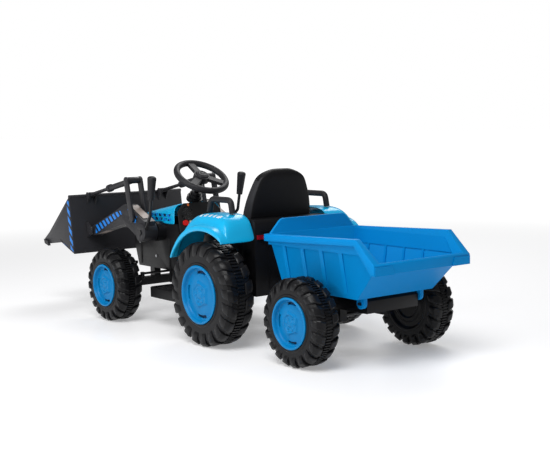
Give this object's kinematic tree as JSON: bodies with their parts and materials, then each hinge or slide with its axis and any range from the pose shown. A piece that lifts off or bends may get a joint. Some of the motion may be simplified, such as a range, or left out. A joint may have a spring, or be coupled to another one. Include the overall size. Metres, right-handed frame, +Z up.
{
  "type": "ride-on toy tractor",
  "caption": "Ride-on toy tractor with a lifting front loader, tilting bucket, steering front axle and a two-wheeled tipping trailer.",
  "frame": {"origin": "on the ground, midway between the bucket's cutting edge and the trailer's tail lip, on the middle plane", "axes": "+Z up; the tractor faces -Y, so +Y runs back to the trailer; +X is the rider's left"},
  "size_m": [0.55, 1.668, 0.5149],
  "materials": {
    "battery_grey": "matte",
    "body_black": "satin moulded",
    "button_red": "gloss",
    "clear_lens": "clear",
    "dash_grey": "satin",
    "gauge_face": "satin",
    "gloss_blue": "gloss",
    "grip_black": "satin",
    "lamp_amber": "gloss",
    "lamp_red": "gloss",
    "rim_blue": "gloss",
    "rocker_white": "gloss",
    "steel": "black paint",
    "tub_blue": "satin",
    "tyre_black": "semi-gloss moulded"
  },
  "bodies": {
    "tractor": {"lower_body": "body_black", "hood": "gloss_blue", "grille": "body_black", "headlights": "clear_lens", "dash_panel": "dash_grey", "gauge": "gauge_face", "gauge_lens": "clear_lens", "dash_lamp": "lamp_amber", "column_boot": "body_black", "fender_left": "gloss_blue", "fender_right": "gloss_blue", "fender_handles": "body_black", "seat_base": "body_black", "seat_back": "body_black", "footboard_left": "body_black", "footboard_right": "body_black", "rear_axle": "steel", "loader_axles": "steel", "battery": "battery_grey", "drive_gearboxes": "battery_grey", "tail_lamps": "lamp_red", "hitch_bracket": "steel", "body_screws": "steel", "front_axle_beam": "steel"},
    "steering": {"steering_wheel": "grip_black", "steering_cap": "grip_black", "steering_shaft": "steel"},
    "knuckle_l": {"knuckle_left": "steel"},
    "knuckle_r": {"knuckle_right": "steel"},
    "tie_link": {"tie_rod": "steel"},
    "loader": {"loader_arm_left": "body_black", "loader_arm_right": "body_black", "loader_cross_tube": "steel", "lever_rods": "steel", "lever_grips": "grip_black"},
    "fork_l": {"tilt_fork_left": "body_black"},
    "fork_r": {"tilt_fork_right": "body_black"},
    "link_l": {"tilt_link_left": "body_black"},
    "link_r": {"tilt_link_right": "body_black"},
    "bucket": {"bucket_shell": "body_black", "bucket_brackets": "body_black"},
    "trailer": {"trailer_chassis": "body_black", "trailer_axle": "steel", "tip_pin": "steel"},
    "tub_body": {"tub": "tub_blue"},
    "power": {"power_button": "button_red"},
    "rocker": {"direction_rocker": "rocker_white"},
    "pedal_body": {"pedal": "body_black"},
    "wheel_front_left": {"tyre_front_left": "tyre_black", "rim_front_left": "rim_blue"},
    "wheel_front_right": {"tyre_front_right": "tyre_black", "rim_front_right": "rim_blue"},
    "wheel_rear_left": {"tyre_rear_left": "tyre_black", "rim_rear_left": "rim_blue"},
    "wheel_rear_right": {"tyre_rear_right": "tyre_black", "rim_rear_right": "rim_blue"},
    "wheel_trailer_left": {"tyre_trailer_left": "tyre_black", "rim_trailer_left": "rim_blue"},
    "wheel_trailer_right": {"tyre_trailer_right": "tyre_black", "rim_trailer_right": "rim_blue"}
  },
  "joints": [
    {"name": "steering_turn", "type": "hinge", "parent": "tractor", "child": "steering", "pos_m": [0, -0.154, 0.462], "axis": [0, 0.5177, 0.8555], "range_deg": [-28, 28]},
    {"name": "steer_left", "type": "hinge", "parent": "tractor", "child": "knuckle_l", "pos_m": [0.15, -0.335, 0.117], "axis": [0, 0, 1], "range_deg": [-25, 25]},
    {"name": "steer_right", "type": "hinge", "parent": "tractor", "child": "knuckle_r", "pos_m": [-0.15, -0.335, 0.117], "axis": [0, 0, 1], "range_deg": [-25, 25]},
    {"name": "tie_rod_pivot", "type": "hinge", "parent": "knuckle_l", "child": "tie_link", "pos_m": [0.15, -0.29, 0.148], "axis": [0, 0, 1], "range_deg": [-25, 25]},
    {"name": "wheel_spin_front_left", "type": "hinge", "parent": "knuckle_l", "child": "wheel_front_left", "pos_m": [0.229, -0.335, 0.117], "axis": [1, 0, 0], "continuous": true},
    {"name": "wheel_spin_rear_left", "type": "hinge", "parent": "tractor", "child": "wheel_rear_left", "pos_m": [0.225, 0.217, 0.15], "axis": [1, 0, 0], "continuous": true},
    {"name": "wheel_spin_trailer_left", "type": "hinge", "parent": "trailer", "child": "wheel_trailer_left", "pos_m": [0.21, 0.598, 0.117], "axis": [1, 0, 0], "continuous": true},
    {"name": "wheel_spin_front_right", "type": "hinge", "parent": "knuckle_r", "child": "wheel_front_right", "pos_m": [-0.229, -0.335, 0.117], "axis": [1, 0, 0], "continuous": true},
    {"name": "wheel_spin_rear_right", "type": "hinge", "parent": "tractor", "child": "wheel_rear_right", "pos_m": [-0.225, 0.217, 0.15], "axis": [1, 0, 0], "continuous": true},
    {"name": "wheel_spin_trailer_right", "type": "hinge", "parent": "trailer", "child": "wheel_trailer_right", "pos_m": [-0.21, 0.598, 0.117], "axis": [1, 0, 0], "continuous": true},
    {"name": "loader_lift", "type": "hinge", "parent": "tractor", "child": "loader", "pos_m": [0, -0.261, 0.286], "axis": [-1, 0, 0], "range_deg": [-20, 35]},
    {"name": "bucket_tilt", "type": "hinge", "parent": "loader", "child": "bucket", "pos_m": [0, -0.593, 0.27], "axis": [1, 0, 0], "range_deg": [-30, 45]},
    {"name": "tilt_fork_left_pivot", "type": "hinge", "parent": "loader", "child": "fork_l", "pos_m": [0.146, -0.309, 0.328], "axis": [1, 0, 0], "range_deg": [-30, 45]},
    {"name": "tilt_link_left_pivot", "type": "hinge", "parent": "fork_l", "child": "link_l", "pos_m": [0.146, -0.338, 0.452], "axis": [1, 0, 0], "range_deg": [-45, 30]},
    {"name": "tilt_fork_right_pivot", "type": "hinge", "parent": "loader", "child": "fork_r", "pos_m": [-0.146, -0.309, 0.328], "axis": [1, 0, 0], "range_deg": [-30, 45]},
    {"name": "tilt_link_right_pivot", "type": "hinge", "parent": "fork_r", "child": "link_r", "pos_m": [-0.146, -0.338, 0.452], "axis": [1, 0, 0], "range_deg": [-45, 30]},
    {"name": "trailer_yaw", "type": "hinge", "parent": "tractor", "child": "trailer", "pos_m": [0, 0.34, 0.152], "axis": [0, 0, 1], "range_deg": [-18, 18]},
    {"name": "tub_tip", "type": "hinge", "parent": "trailer", "child": "tub_body", "pos_m": [0, 0.714, 0.166], "axis": [-1, 0, 0], "range_deg": [0, 45]},
    {"name": "power_press", "type": "slide", "parent": "tractor", "child": "power", "axis": [0, -0.9772, -0.2124], "range_m": [0, 0.003], "stiffness_N_per_m": 400, "springref_m": -0.001},
    {"name": "direction_rock", "type": "hinge", "parent": "tractor", "child": "rocker", "pos_m": [0.038, -0.16399, 0.31634], "axis": [1, 0, 0], "range_deg": [-8, 8]},
    {"name": "pedal_press", "type": "hinge", "parent": "tractor", "child": "pedal_body", "pos_m": [-0.14, -0.074, 0.126], "axis": [1, 0, 0], "range_deg": [0, 12], "stiffness_Nm_per_rad": 6, "springref_deg": -2.86}
  ],
  "couplings": [
    {"joint": "steer_left", "follows": "steering_turn", "ratio": 0.88889},
    {"joint": "steer_right", "follows": "steering_turn", "ratio": 0.88889},
    {"joint": "tie_rod_pivot", "follows": "steering_turn", "ratio": -0.88889},
    {"joint": "tilt_fork_left_pivot", "follows": "bucket_tilt", "ratio": 1},
    {"joint": "tilt_link_left_pivot", "follows": "bucket_tilt", "ratio": -1},
    {"joint": "tilt_fork_right_pivot", "follows": "bucket_tilt", "ratio": 1},
    {"joint": "tilt_link_right_pivot", "follows": "bucket_tilt", "ratio": -1}
  ]
}
